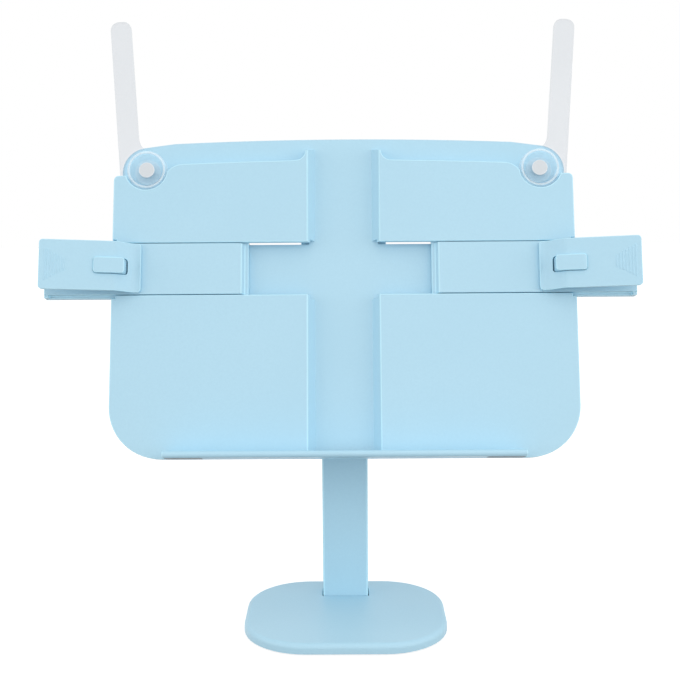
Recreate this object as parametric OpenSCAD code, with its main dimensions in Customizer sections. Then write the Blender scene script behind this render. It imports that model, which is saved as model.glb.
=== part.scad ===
// Book stand: a tilting panel with two sliding page clips and two clear swing arms,
// carried by a post on a weighted base. The origin is the middle of the base's underside,
// +X is to the reader's right, -Y faces the reader and +Z is up.

/* [Base] */
// Width of the base
base_w = 122.8; // [110:0.2:150]
// Depth of the base
base_d = 102.2; // [92:0.2:120]
// Height of the base's top above the desk
base_h = 7; // [6.6:0.1:9]
// Plan radius of the base's corners
base_corner_r = 38.5; // [30:0.5:44]
// Rounding of the base's top edge
base_edge_r = 3; // [1.5:0.1:3.6]
// Wall of the base's shell
base_wall = 2; // [1.6:0.1:2.2]
// Gap between the desk and the shell's lower rim
rim_gap = 0.8; // [0.4:0.1:1.2]
// Thickness of the steel bottom plate
plate_t = 1.6; // [1.2:0.1:2]
// Thickness of the non-slip mat
mat_t = 1.2; // [1:0.1:1.2]
// Distance from the mat's edge to the bottom plate's edge
mat_margin = 5; // [3:0.5:8]
// Thickness of the steel weight
weight_t = 2.4; // [1:0.1:2.4]
// Distance of the steel weight from the base's front
weight_front = 14.3; // [13:0.1:30]
// Distance of the bottom plate's screws from the base's sides
plate_screw_in = 13.4; // [12.6:0.2:16]
// Distance of the bottom plate's screws from the base's front and rear
plate_screw_back = 30; // [26:0.5:36]

/* [Column] */
// Width of the column
col_w = 28.6; // [24:0.2:34]
// Thickness of the column
col_t = 13; // [12:0.5:16]
// Distance of the column's middle from the base's rear edge
col_back = 20.7; // [19:0.1:27]
// Lean of the column to the rear, in degrees
col_lean = 0; // [0:0.5:6]
// Height of the tilt axis above the base, along the column
col_len = 187.9; // [150:0.1:220]
// Wall of the column
col_wall = 2.2; // [1.8:0.1:3]
// Length of the solid foot and of the solid head of the column
col_solid = 16; // [14:1:22]

/* [Panel] */
// Width of the panel
panel_w = 280; // [270:1:300]
// Height of the panel at its middle
panel_h = 197; // [190:1:205]
// Tilt of the panel from upright, in degrees
panel_tilt = 17.2; // [14:0.2:24]
// Radius of the arched top edge
crown_r = 2400; // [1800:50:4000]
// Radius of the lower corners
low_corner_r = 31; // [20:1:33]
// Height of the pads above the channels
pad_rise = 8; // [7:0.5:10]
// Thickness of the channel floor
floor_t = 2.4; // [2:0.1:3]
// Thickness of the pads' skin
skin_t = 2.4; // [1.8:0.1:2.6]
// Half width of the centre channel between the pads
mid_half = 21.7; // [18:0.1:23]
// Half width of the centre channel at its floor
mid_floor_half = 17.5; // [14:0.1:17.5]
// Height of the cross channel's middle above the panel's lower edge
channel_v = 114.4; // [110:0.2:118]
// Distance of the tilt axis above the panel's lower edge
hinge_v = 97; // [92:0.5:102]
// Width of the recess for the swing arms, below the top edge
recess_w = 15.3; // [14.6:0.1:15.4]
// Depth of the rest for the arms' heels below the pivots
shoulder_drop = 4; // [3.4:0.1:5]
// Thickness of the ribs behind the pads
rib_t = 1.6; // [1:0.1:2.4]

/* [Ledge] */
// Width of the book ledge
ledge_w = 210; // [160:1:212]
// Depth of the book ledge in front of the pads
ledge_d = 20; // [14:0.5:30]
// Thickness of the book ledge
ledge_t = 3.8; // [3:0.1:6]
// Length of each rubber strip under the ledge
strip_l = 21; // [10:1:24]
// Thickness of the rubber strips
strip_t = 0.4; // [0.4:0.1:2]

/* [Slide arms] */
// Width of the arms' front face
arm_face_w = 31.2; // [28:0.2:32]
// Reach of the guide rails past the front face, on each side
rail_reach = 2; // [1.5:0.1:2.5]
// Distance of the arm's outer end from the panel's middle when pulled out
arm_end = 180.6; // [178:0.2:190]
// Distance of the arm's inner end from the panel's middle when pulled out
arm_inner = 57.6; // [57.6:0.2:62]
// Travel of the arms
arm_travel = 36; // [20:0.5:36]
// How far the left arm is pushed in
left_in = 0; // [0:0.1:10]
// How far the right arm is pushed in
right_in = 4.3; // [0:0.1:10]
// Length of the end block
end_block_l = 2.7; // [2:0.1:4]
// Wall of the slide arms
arm_wall = 2.2; // [1.6:0.1:2.6]

/* [Clips] */
// Width of the clip levers
lever_w = 30; // [26:0.5:31]
// Thickness of the clip levers
lever_t = 2.2; // [1.6:0.1:2.6]
// Distance of the jaw's tip from the panel's middle when pulled out
jaw_x = 121.9; // [118:0.2:123]
// Height of the jaw's top over the arm's face
jaw_z = 2.8; // [2.6:0.1:3.4]
// Rise of the lever over its bend
lever_rise = 8; // [7.6:0.1:9]
// Rise of the lever from its bend to its outer end, per millimetre
lever_slope = 0.17; // [0.14:0.01:0.2]
// Distance of the clip pin from the panel's middle when pulled out
pin_x = 138; // [137:0.2:139]
// Height of the clip pin over the arm's face
pin_z = 4.2; // [4:0.1:4.6]
// Radius of the clip pin
pin_r = 1.25; // [1:0.05:1.3]
// Length of the post inside the lever's window
post_l = 18; // [17.4:0.1:18.6]
// Distance of the post's inner end from the clip pin
post_in = 7.7; // [7.2:0.1:8]
// Width of the post
post_w = 9.4; // [9.2:0.1:12]
// Height of the post's outer end over the arm's face
post_h = 14.6; // [14.2:0.1:15]
// Radius of the spring wire
wire_r = 0.4; // [0.3:0.05:0.45]
// Mean radius of the spring's coil
coil_r = 2.1; // [2:0.05:2.3]
// Length of the spring's coil
coil_l = 5.2; // [4.8:0.1:5.6]

/* [Swing arms] */
// Distance of the pivots from the panel's sides
pivot_in = 19.6; // [19:0.1:21]
// Depth of the pivots below the middle of the top edge
pivot_drop = 20.4; // [20:0.1:21.4]
// Length of the arms from the pivot
swing_len = 97.9; // [60:0.1:97.9]
// Width of the arms
swing_w = 13; // [10:0.2:13]
// Offset of the arms' inner edge from the pivot
swing_offset = 3.9; // [3.6:0.1:5]
// Outward lean of the arms, in degrees
swing_lean = 4.9; // [3:0.1:6]
// Thickness of the arms
swing_t = 3; // [2:0.1:3.2]
// Radius of the round disc at the arm's root
disc_r = 12.4; // [12:0.1:12.6]
// Radius of the raised boss on the disc
boss_r = 11.7; // [9:0.1:11.7]
// Height of the raised boss over the arm
boss_h = 3.5; // [2.5:0.1:3.6]
// Radius of the hollow in the boss
hollow_r = 10.1; // [6:0.1:10.3]
// Depth of the hollow in the boss
hollow_d = 2.4; // [2:0.1:2.6]
// Radius of the pivot pin's shaft
pivot_r = 3; // [2:0.1:3.4]
// Radius of the pivot pin's head
pivot_head_r = 4.8; // [4:0.1:5.4]

/* [Tilt hinge] */
// Radius of the hinge bolt
bolt_r = 2.5; // [2:0.1:3]
// Thickness of the bracket's plate
bracket_t = 3; // [2.4:0.1:3]
// Thickness of the bracket's ears
ear_t = 7; // [6.6:0.1:9]
// Thickness of the friction washers
washer_t = 0.6; // [0.4:0.1:1]
// Half width of the bracket's plate
bracket_half = 26; // [25.6:0.2:30]
// Reach of the bracket's plate below the tilt axis
bracket_below = 31; // [26:0.5:36]
// Reach of the bracket's plate above the tilt axis
bracket_above = 47; // [46:0.5:54]

/* [Hidden] */

LEFT = -1;
RIGHT = 1;
round_fn = 48;
eps = 0.01;

// Clearances
run_clear = 0.1;
seat_clear = 0.05;
slip = 0.2;
slide_gap = 0.5;
socket_gap = 0.5;

// Base, from the desk up
plate_z = rim_gap;
plate_top = plate_z + plate_t;
mat_sunk = 0.4;
mat_hole_gap = 0.6;
plate_inset = base_wall + slip;
foot_depth = base_h - plate_top;
plate_screw_x = base_w / 2 - plate_screw_in;
plate_screw_y = base_d / 2 - plate_screw_back;
col_y = base_d / 2 - col_back;
plate_screw_z = plate_z + mat_sunk;
shell_top_in = base_h - base_wall;
screw_r = 1.45;
screw_head_r = 2.8;
screw_head_h = 0.9;
plate_post_r = 4;
plate_screw_l = 4;
post_screw_l = 5;
col_screw_r = 1.9;
col_screw_head_r = 3.6;
col_screw_x = col_w / 4;
col_screw_l = 14;
socket_wall = 2.2;
weight_gap = 2;
weight_corner_r = 6;
weight_rear = col_y - col_t / 2 - socket_wall - socket_gap - weight_gap;
weight_w = 2 * (plate_screw_x - plate_post_r - weight_gap);
weight_d = weight_rear + base_d / 2 - weight_front;
weight_y = weight_rear - weight_d / 2;

// Column, along its own height
knuckle_r = col_t / 2;
col_cover_from = col_solid;
col_cover_to = col_len - col_solid;
col_cover_screws = 3;
col_boss_r = 3;

// Panel, in its own frame: x across, y up the panel, z towards the reader from the pads' faces
board_t = pad_rise + floor_t;
half_w = panel_w / 2;
pivot_x = half_w - pivot_in;
pivot_v = panel_h - pivot_drop;
shoulder_v = pivot_v - shoulder_drop;
ear_r = disc_r + 3.4;
pocket_r = disc_r + slide_gap;
hinge_back = board_t + bracket_t + knuckle_r + 0.7;
shoulder_r = 3;
lip_t = skin_t + slip;
lip_half = arm_face_w / 2 + slide_gap;
cavity_half = lip_half + rail_reach;
notch_l = 2.4;
pad_corner_r = 2;
web_t = 2.2;
hollow_inner = mid_half + 4.3;
crown_to = 104;
recess_corner_r = 12;
recess_corner_in = 22.4;
recess_corner_x = pivot_x - recess_corner_in;
recess_corner_to = 20;
ear_turn = 80;
horn_r = 6.2;
strip_side = 1;
strip_in = 3;
horn_strip = 1.4;
horn_x = mid_half + horn_strip;
horn_draft = 2.4;

// Where the hinge is
hinge_y = col_y + col_len * sin(col_lean);
hinge_z = base_h + col_len * cos(col_lean);

// Slide arm, clip and spring, across the panel from its middle, with the arm pulled out
arm_back = -pad_rise + slide_gap;
rail_half = arm_face_w / 2 + rail_reach;
rail_top = -lip_t - slide_gap;
arm_bevel = 4;
lug_l = 3;
lug_w = 1.4;
lever_end = arm_end - 0.9;
bend_from = jaw_x + 2.6;
bend_to = bend_from + 13.4;
post_from = pin_x - post_in;
post_to = post_from + post_l;
post_mid = (post_from + post_to) / 2;
post_ramp = 2.8;
post_drop = 0.9;
post_wall = 1.4;
post_cap = 3.4;
post_corner_r = 1.6;
window_gap = 0.2;
window_inner_gap = 0.9;
ear_boss_r = 2.6;
ear_boss_to = lever_w / 2 - 3;
lever_corner_r = 2.2;
coil_turns = 3;
leg_out = 8;
leg_up = 13.7;
leg_angle = 17;
ring_sides = 6;
rings_per_turn = 8;

// Swing arm
swing_back = -pad_rise + 0.6;
swing_tip_r = 5.2;
swing_flare_r = 10;
heel_gap = 0.37;
heel = (shoulder_drop - heel_gap) / cos(swing_lean) - (swing_offset + swing_w) * tan(swing_lean);
retainer_r = 5.5;
retainer_t = 3;
retainer_skin = 0.8;
pin_head_t = 1.3;
pivot_washer_r = 8;

// Tilt hinge
bracket_back = -board_t - bracket_t;
ear_from = col_w / 2 + washer_t + run_clear;
ear_to = ear_from + ear_t;
head_r = 4.6;
head_h = 2.6;
head_pocket_r = head_r + 0.4;
head_pocket_d = ear_t - 2.8;
bracket_screw_shift = 1.2;
bracket_screw_in = 6;
bracket_low = hinge_v - bracket_below;
bracket_high = hinge_v + bracket_above;
bracket_screw_x = (mid_half + hollow_inner) / 2 - bracket_screw_shift;
bracket_screw_low = bracket_low + bracket_screw_in;
bracket_screw_high = bracket_high - bracket_screw_in;
bracket_screw_l = bracket_t + floor_t + 1.5;

// Shared shapes

function arc(c, r, a0, a1, n = 10) =
    [for (i = [0:n]) c + r * [cos(a0 + (a1 - a0) * i / n), sin(a0 + (a1 - a0) * i / n)]];

function crown(x) = panel_h - x * x / (2 * crown_r);

function flip(points) = [for (i = [len(points) - 1:-1:0]) [-points[i].x, points[i].y]];

// Rounded rectangle as a list of points
function rounded(w, d, r) = concat(
    arc([w / 2 - r, -d / 2 + r], r, -90, 0), arc([w / 2 - r, d / 2 - r], r, 0, 90),
    arc([-w / 2 + r, d / 2 - r], r, 90, 180), arc([-w / 2 + r, -d / 2 + r], r, 180, 270));

module on_panel() {
    translate([0, hinge_y, hinge_z])
        rotate([90 - panel_tilt, 0, 0])
            translate([0, -hinge_v, hinge_back]) children();
}

module on_column() {
    translate([0, col_y, base_h]) rotate([-col_lean, 0, 0]) children();
}

// Mirrors what is drawn for the right side when the side is LEFT
module side(s) {
    mirror([s == LEFT ? 1 : 0, 0, 0]) children();
}

module on_arm(s) {
    pushed = s == LEFT ? left_in : right_in;
    on_panel() side(s) translate([-pushed, channel_v, 0]) children();
}

module on_pivot(s) {
    on_panel() side(s) translate([pivot_x, pivot_v, 0]) children();
}

// A round bar along x, from one x to another
module bar_x(r, from, to) {
    translate([from, 0, 0]) rotate([0, 90, 0]) cylinder(r = r, h = to - from, $fn = round_fn);
}

// A round bar along y, centred
module bar_y(r, l) {
    rotate([90, 0, 0]) cylinder(r = r, h = l, center = true, $fn = round_fn);
}

module at_plate_screws() {
    for (x = [-plate_screw_x, plate_screw_x], y = [-plate_screw_y, plate_screw_y])
        translate([x, y, 0]) children();
}

module at_column_screws() {
    for (x = [-col_screw_x, col_screw_x]) translate([x, col_y, 0]) children();
}

module at_bracket_screws() {
    for (x = [-bracket_screw_x, bracket_screw_x], y = [bracket_screw_low, bracket_screw_high])
        translate([x, y, 0]) children();
}

module at_column_cover_screws() {
    span = col_cover_to - col_cover_from;
    for (i = [0:col_cover_screws - 1])
        translate([0, col_t / 2, col_cover_from + span * (i + 0.5) / col_cover_screws]) children();
}

// Pan-head screw with its seat at z = 0, its head below and its shaft above
module pan_screw(r, l, head_radius, head_height) {
    translate([0, 0, -head_height]) cylinder(r = head_radius, h = head_height, $fn = round_fn);
    translate([0, 0, -eps]) cylinder(r = r, h = l + eps, $fn = round_fn);
}

// Base

module base_blank() {
    inset = base_corner_r - base_edge_r;
    hull() for (x = [-1, 1], y = [-1, 1])
        translate([x * (base_w / 2 - base_corner_r), y * (base_d / 2 - base_corner_r), rim_gap])
            rotate_extrude($fn = round_fn) {
                square([base_corner_r, base_h - rim_gap - base_edge_r]);
                square([inset, base_h - rim_gap]);
                translate([inset, base_h - rim_gap - base_edge_r])
                    intersection() {
                        circle(base_edge_r, $fn = 32);
                        square(base_edge_r);
                    }
            }
}

module base_slab(inset, from, to) {
    translate([0, 0, from])
        linear_extrude(to - from)
            polygon(rounded(base_w - 2 * inset, base_d - 2 * inset, base_corner_r - inset));
}

module socket_block(grow, from, to) {
    on_column() translate([0, 0, (from + to) / 2 - base_h])
        cube([col_w + 2 * grow, col_t + 2 * grow, to - from], center = true);
}

module base_shell() {
    color([0.69, 0.84, 0.91]) difference() {
        union() {
            difference() {
                base_blank();
                base_slab(base_wall, rim_gap - eps, shell_top_in - base_edge_r / 3);
                base_slab(base_wall + base_edge_r / 2, rim_gap, shell_top_in);
            }
            at_plate_screws() translate([0, 0, plate_top])
                cylinder(r = plate_post_r, h = shell_top_in - plate_top + eps, $fn = round_fn);
            intersection() {
                socket_block(socket_gap + socket_wall, 0, base_h - eps);
                base_slab(base_wall, plate_top, base_h - eps);
            }
        }
        socket_block(socket_gap, 0, 2 * base_h);
        at_plate_screws() translate([0, 0, plate_screw_z])
            cylinder(r = screw_r + seat_clear, h = plate_screw_l + seat_clear, $fn = round_fn);
    }
}

module base_plate() {
    color([0.5, 0.51, 0.53]) difference() {
        base_slab(plate_inset, plate_z, plate_top);
        base_slab(plate_inset + mat_margin - slip, plate_z - eps, plate_z + mat_sunk);
        at_plate_screws() cylinder(r = screw_r + slip, h = base_h, $fn = round_fn);
        at_column_screws() cylinder(r = col_screw_r + slip, h = base_h, $fn = round_fn);
    }
}

module base_weight() {
    color([0.55, 0.56, 0.58]) translate([0, weight_y, plate_top])
        linear_extrude(weight_t) polygon(rounded(weight_w, weight_d, weight_corner_r));
}

module base_mat() {
    color([0.35, 0.37, 0.39]) difference() {
        base_slab(plate_inset + mat_margin, plate_z + mat_sunk - mat_t, plate_z + mat_sunk);
        at_plate_screws() translate([0, 0, -1])
            cylinder(r = screw_head_r + mat_hole_gap, h = 4, $fn = round_fn);
        at_column_screws() translate([0, 0, -1])
            cylinder(r = col_screw_head_r + mat_hole_gap, h = 4, $fn = round_fn);
    }
}

module plate_screws() {
    color([0.7, 0.71, 0.72]) at_plate_screws() translate([0, 0, plate_screw_z])
        pan_screw(screw_r, plate_screw_l, screw_head_r, screw_head_h);
}

module column_screws() {
    color([0.7, 0.71, 0.72]) at_column_screws() translate([0, 0, plate_screw_z])
        pan_screw(col_screw_r, col_screw_l, col_screw_head_r, screw_head_h);
}

// Column

module column() {
    color([0.68, 0.83, 0.9]) difference() {
        on_column() difference() {
            union() {
                translate([-col_w / 2, -col_t / 2, -foot_depth])
                    cube([col_w, col_t, col_len + foot_depth]);
                translate([0, 0, col_len]) bar_x(knuckle_r, -col_w / 2, col_w / 2);
            }
            difference() {
                translate([-col_w / 2 + col_wall, -col_t / 2 + col_wall, col_cover_from])
                    cube([col_w - 2 * col_wall, col_t, col_cover_to - col_cover_from]);
                at_column_cover_screws() translate([0, -col_t / 2 - col_wall, 0])
                    bar_y(col_boss_r, col_t);
            }
            at_column_cover_screws() translate([0, -(col_t - col_wall) / 2, 0])
                bar_y(screw_r + seat_clear, col_t - 2 * col_wall);
            translate([0, 0, col_len]) bar_x(bolt_r + run_clear, -col_w, col_w);
        }
        at_column_screws()
            cylinder(r = col_screw_r + seat_clear, h = plate_screw_z + col_screw_l + 1, $fn = round_fn);
    }
}

module column_cover() {
    color([0.66, 0.81, 0.88]) on_column() difference() {
        translate([-col_w / 2 + col_wall + slip, col_t / 2 - col_wall, col_cover_from + slip])
            cube([col_w - 2 * (col_wall + slip), col_wall, col_cover_to - col_cover_from - 2 * slip]);
        at_column_cover_screws() bar_y(screw_r + slip, col_t);
        at_column_cover_screws() bar_y(screw_head_r + slip, 2 * screw_head_h);
    }
}

module column_cover_screws() {
    color([0.7, 0.71, 0.72]) on_column() at_column_cover_screws() translate([0, -screw_head_h, 0])
        rotate([90, 0, 0]) pan_screw(screw_r, post_screw_l, screw_head_r, screw_head_h);
}

// Panel

// Right half of the panel's outline, from the middle of the lower edge to the middle of the top
function outline_half() = concat(
    [[0, 0]],
    arc([half_w - low_corner_r, low_corner_r], low_corner_r, -90, 0, 14),
    arc([half_w - shoulder_r, shoulder_v - shoulder_r], shoulder_r, 0, 90, 6),
    arc([pivot_x, pivot_v], ear_r, -asin((pivot_v - shoulder_v) / ear_r), ear_turn, 14),
    [for (i = [6:-1:0]) [crown_to * i / 6, crown(crown_to * i / 6)]]);

// Upper pad, with the rest for the arm's heel, the round pocket's side and the horn at its inner end
function upper_pad() = concat(
    [[mid_half, channel_v + lip_half]],
    arc([half_w - pad_corner_r, channel_v + lip_half + pad_corner_r], pad_corner_r, -90, 0, 6),
    arc([half_w - shoulder_r, shoulder_v - shoulder_r], shoulder_r, 0, 90, 6),
    [[pivot_x, shoulder_v]],
    arc([recess_corner_x, crown(recess_corner_x) - recess_w - recess_corner_r], recess_corner_r,
        recess_corner_to, 90, 8),
    [for (i = [1:4])
        let(x = recess_corner_x + (horn_x + horn_r - recess_corner_x) * i / 5)
        [x, crown(x) - recess_w]],
    arc([horn_x + horn_r, crown(0) - recess_w + horn_r], horn_r, 270, 180, 8),
    [[mid_half, crown(0) - recess_w + horn_r]]);

function lower_pad() = concat(
    [[mid_half, 0]],
    arc([half_w - low_corner_r, low_corner_r], low_corner_r, -90, 0, 14),
    arc([half_w - pad_corner_r, channel_v - lip_half - pad_corner_r], pad_corner_r, 0, 90, 6),
    [[mid_half, channel_v - lip_half]]);

function upper_hollow() = [
    [hollow_inner, channel_v + cavity_half + web_t], [half_w - web_t, channel_v + cavity_half + web_t],
    [half_w - web_t, pivot_v - pocket_r - web_t], [recess_corner_x + 5, pivot_v - pocket_r - web_t],
    [recess_corner_x, crown(recess_corner_x) - recess_w - web_t - 1],
    [hollow_inner, crown(recess_corner_x) - recess_w - web_t - 1]];

function lower_hollow() = concat(
    [[hollow_inner, web_t]],
    arc([half_w - low_corner_r, low_corner_r], low_corner_r - web_t, -90, 0, 10),
    [[half_w - web_t, channel_v - cavity_half - web_t], [hollow_inner, channel_v - cavity_half - web_t]]);

module between(from, to) {
    translate([0, 0, from]) linear_extrude(to - from) children();
}

// The hollow behind a pad, parted into cells by upright and level ribs
module cells(columns, rows, low, high) {
    step_x = (half_w - hollow_inner) / columns;
    step_y = (high - low) / rows;
    for (i = [0:columns - 1], j = [0:rows - 1])
        translate([hollow_inner + i * step_x + rib_t / 2, low + j * step_y + rib_t / 2])
            square([step_x - rib_t, step_y - rib_t]);
}

// Foot of the horn: the sloping wall runs out with a draft into the top recess
module horn_foot(high) {
    intersection() {
        translate([0, high + horn_draft, 0]) rotate([90, 0, 0]) linear_extrude(2 * horn_draft)
            polygon([[mid_floor_half, -pad_rise - floor_t / 2], [mid_floor_half, -pad_rise],
                     [mid_half, 0], [mid_half, -pad_rise - floor_t / 2]]);
        rotate([90, 0, 90]) linear_extrude(horn_x)
            polygon([[high - horn_draft, -board_t], [high - horn_draft, 0], [high, 0],
                     [high + horn_draft, -pad_rise], [high + horn_draft, -board_t]]);
    }
}

// Sloping wall beside the centre channel
module channel_wall(low, high) {
    translate([0, high, 0]) rotate([90, 0, 0]) linear_extrude(high - low)
        polygon([[mid_floor_half, -board_t], [mid_floor_half, -pad_rise], [mid_half, 0],
                 [horn_x, 0], [horn_x, -board_t]]);
}

// Book ledge in section, with a round nose
module ledge() {
    nose = ledge_t / 2;
    translate([-ledge_w / 2, 0, 0]) rotate([90, 0, 90]) linear_extrude(ledge_w) {
        translate([0, -skin_t]) square([ledge_t, ledge_d - nose + skin_t]);
        translate([nose, ledge_d - nose]) circle(nose, $fn = round_fn);
    }
}

module panel_half() {
    horn_top = crown(0) - recess_w + horn_r;
    difference() {
        union() {
            between(-board_t, 0) polygon(upper_pad());
            between(-board_t, 0) polygon(lower_pad());
            channel_wall(channel_v + lip_half, horn_top);
            horn_foot(horn_top);
            channel_wall(0, channel_v - lip_half);
        }
        between(-board_t - eps, -skin_t) intersection() {
            polygon(upper_hollow());
            cells(4, 2, channel_v + cavity_half + web_t, shoulder_v + 6);
        }
        between(-board_t - eps, -skin_t) intersection() {
            polygon(lower_hollow());
            cells(4, 3, 0, channel_v - cavity_half - web_t + rib_t);
        }
        translate([pivot_x, pivot_v, -pad_rise]) cylinder(r = pocket_r, h = board_t, $fn = 96);
    }
}

module panel() {
    outline = outline_half();
    color([0.72, 0.87, 0.94]) on_panel() {
        difference() {
            union() {
                difference() {
                    between(-board_t, -pad_rise) polygon(concat(outline, flip(outline)));
                    for (s = [LEFT, RIGHT]) side(s) {
                        between(-board_t - eps, 0) polygon(upper_hollow());
                        between(-board_t - eps, 0) polygon(lower_hollow());
                    }
                }
                for (s = [LEFT, RIGHT]) side(s) panel_half();
                ledge();
            }
            // T-slot for the slide arms' rails, and the openings under its lips
            translate([-panel_w, channel_v - cavity_half, -pad_rise])
                cube([2 * panel_w, 2 * cavity_half, pad_rise - lip_t]);
            for (s = [LEFT, RIGHT], e = [-1, 1]) side(s)
                translate([arm_inner - arm_travel - slide_gap,
                           channel_v + (e > 0 ? lip_half : -cavity_half), -board_t - eps])
                    cube([arm_travel + lug_l + 2 * slide_gap, rail_reach, board_t - lip_t]);
            // Notches where the slot's lips end at the panel's sides
            for (s = [LEFT, RIGHT], e = [-1, 1]) side(s)
                translate([half_w - notch_l, channel_v + (e > 0 ? lip_half : -cavity_half), -lip_t - eps])
                    cube([2 * notch_l, rail_reach, 2 * lip_t]);
            for (s = [LEFT, RIGHT]) side(s) translate([pivot_x, pivot_v, -board_t - 1])
                cylinder(r = pivot_r + seat_clear, h = board_t, $fn = round_fn);
            at_bracket_screws() translate([0, 0, bracket_back])
                cylinder(r = screw_r + seat_clear, h = bracket_screw_l + seat_clear, $fn = round_fn);
        }
    }
}

module ledge_strips() {
    color([0.62, 0.66, 0.68]) on_panel() for (s = [LEFT, RIGHT]) side(s)
        translate([ledge_w / 2 - strip_l - strip_side, -strip_t, strip_in])
            cube([strip_l, strip_t, ledge_d - 2 * strip_in]);
}

// Tilt hinge

module tilt_bracket() {
    color([0.66, 0.81, 0.88]) on_panel() difference() {
        union() {
            translate([-bracket_half, bracket_low, bracket_back])
                cube([2 * bracket_half, bracket_high - bracket_low, bracket_t]);
            for (s = [LEFT, RIGHT]) side(s) translate([0, hinge_v, -hinge_back]) {
                bar_x(knuckle_r, ear_from, ear_to);
                translate([ear_from, -knuckle_r, 0])
                    cube([ear_t, 2 * knuckle_r, hinge_back - board_t - bracket_t / 2]);
            }
        }
        translate([0, hinge_v, -hinge_back]) {
            bar_x(bolt_r + seat_clear, -ear_to - 1, ear_to + 1);
            for (s = [LEFT, RIGHT]) side(s) bar_x(head_pocket_r, ear_to - head_pocket_d, ear_to + 1);
        }
        at_bracket_screws() translate([0, 0, bracket_back - 1])
            cylinder(r = screw_r + slip, h = bracket_t + 2, $fn = round_fn);
    }
}

module bracket_screws() {
    color([0.7, 0.71, 0.72]) on_panel() at_bracket_screws() translate([0, 0, bracket_back])
        pan_screw(screw_r, bracket_screw_l, screw_head_r, 2 * screw_head_h);
}

module on_hinge() {
    on_panel() translate([0, hinge_v, -hinge_back]) children();
}

module hinge_bolt() {
    seat = ear_to - head_pocket_d;
    color([0.7, 0.71, 0.72]) on_hinge() {
        bar_x(bolt_r, -seat - eps, seat + head_h);
        bar_x(head_r, -seat - head_h, -seat);
    }
}

module hinge_nut() {
    seat = ear_to - head_pocket_d;
    color([0.7, 0.71, 0.72]) on_hinge() difference() {
        translate([seat, 0, 0]) rotate([0, 90, 0]) cylinder(r = head_r, h = head_h, $fn = 6);
        bar_x(bolt_r + seat_clear, seat - 1, seat + head_h + 1);
    }
}

module hinge_washers() {
    from = col_w / 2 + run_clear / 2;
    color([0.85, 0.85, 0.83]) on_hinge() for (s = [LEFT, RIGHT]) side(s) difference() {
        bar_x(knuckle_r - 0.5, from, from + washer_t);
        bar_x(bolt_r + run_clear, from - 1, from + washer_t + 1);
    }
}

module hinge_caps() {
    from = ear_to - head_pocket_d + head_h + slip;
    color([0.66, 0.81, 0.88]) on_hinge() for (s = [LEFT, RIGHT]) side(s)
        bar_x(head_pocket_r - seat_clear, from, ear_to + slip);
}

// Slide arms and clips

// Height of the post's top, which rises outwards as the lever does
function post_top(x) = post_h + lever_slope * (x - post_to);

module slide_arm(s) {
    color([0.71, 0.86, 0.93]) on_arm(s) difference() {
        union() {
            // Front face with its sloping inner end
            rotate([90, 0, 0]) linear_extrude(arm_face_w, center = true)
                polygon([[arm_inner, arm_back], [arm_end, arm_back],
                         [arm_end, 0], [arm_inner + arm_bevel, 0]]);
            translate([arm_inner, -rail_half, arm_back])
                cube([arm_end - arm_inner, 2 * rail_half, rail_top - arm_back]);
            translate([arm_end - end_block_l, -rail_half, arm_back])
                cube([end_block_l, 2 * rail_half, -arm_back - 0.6]);
            // Stop lugs that run in the openings under the lips
            for (e = [-1, 1])
                translate([arm_inner, e * (rail_half - lug_w / 2) - lug_w / 2, -board_t + slide_gap])
                    cube([lug_l, lug_w, board_t + arm_back]);
            translate([post_mid, 0, -arm_wall]) linear_extrude(2 * post_h)
                polygon(rounded(post_l, post_w, post_corner_r));
        }
        // Top of the post, level with the lever, and the ramp at its outer end
        rotate([90, 0, 0]) linear_extrude(2 * post_w, center = true)
            polygon([[post_from - 1, post_top(post_from - 1)],
                     [post_to - post_ramp, post_top(post_to - post_ramp)],
                     [post_to, post_top(post_to) - post_drop], [post_to + 1, post_top(post_to) - post_drop],
                     [post_to + 1, 3 * post_h], [post_from - 1, 3 * post_h]]);
        // Hollow back in two bays
        for (bay = [[arm_inner + 2 * arm_wall + arm_bevel, post_from - arm_wall],
                    [post_from, arm_end - end_block_l - arm_wall]])
            translate([bay[0], -arm_face_w / 2 + arm_wall, arm_back - eps])
                cube([bay[1] - bay[0], arm_face_w - 2 * arm_wall, -arm_back - arm_wall]);
        // Spring room in the post, open to the outer end
        rotate([90, 0, 0]) linear_extrude(post_w - 2 * post_wall, center = true)
            polygon([[post_from + post_wall, slip], [post_to + 1, slip],
                     [post_to + 1, post_top(post_to + 1) - post_cap],
                     [post_from + post_wall, post_top(post_from + post_wall) - post_cap]]);
        translate([pin_x, 0, pin_z]) bar_y(pin_r + seat_clear, 2 * post_w);
    }
}

function smooth(t) = let(u = max(0, min(1, t))) u * u * (3 - 2 * u);

// Height of the lever's top over the arm's face
function lever_top(x) = jaw_z
    + 0.5 * pow(max(0, bend_from - x) / (bend_from - jaw_x), 2)
    + lever_rise * smooth((x - bend_from) / (bend_to - bend_from))
    + lever_slope * max(0, x - bend_to);

module lever_profile() {
    stations = concat([jaw_x, (jaw_x + bend_from) / 2],
                      [for (i = [0:12]) bend_from + (bend_to - bend_from) * i / 12], [lever_end]);
    polygon(concat([for (x = stations) [x, lever_top(x)]],
                   [for (i = [len(stations) - 1:-1:0]) [stations[i], lever_top(stations[i]) - lever_t]]));
}

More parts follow.
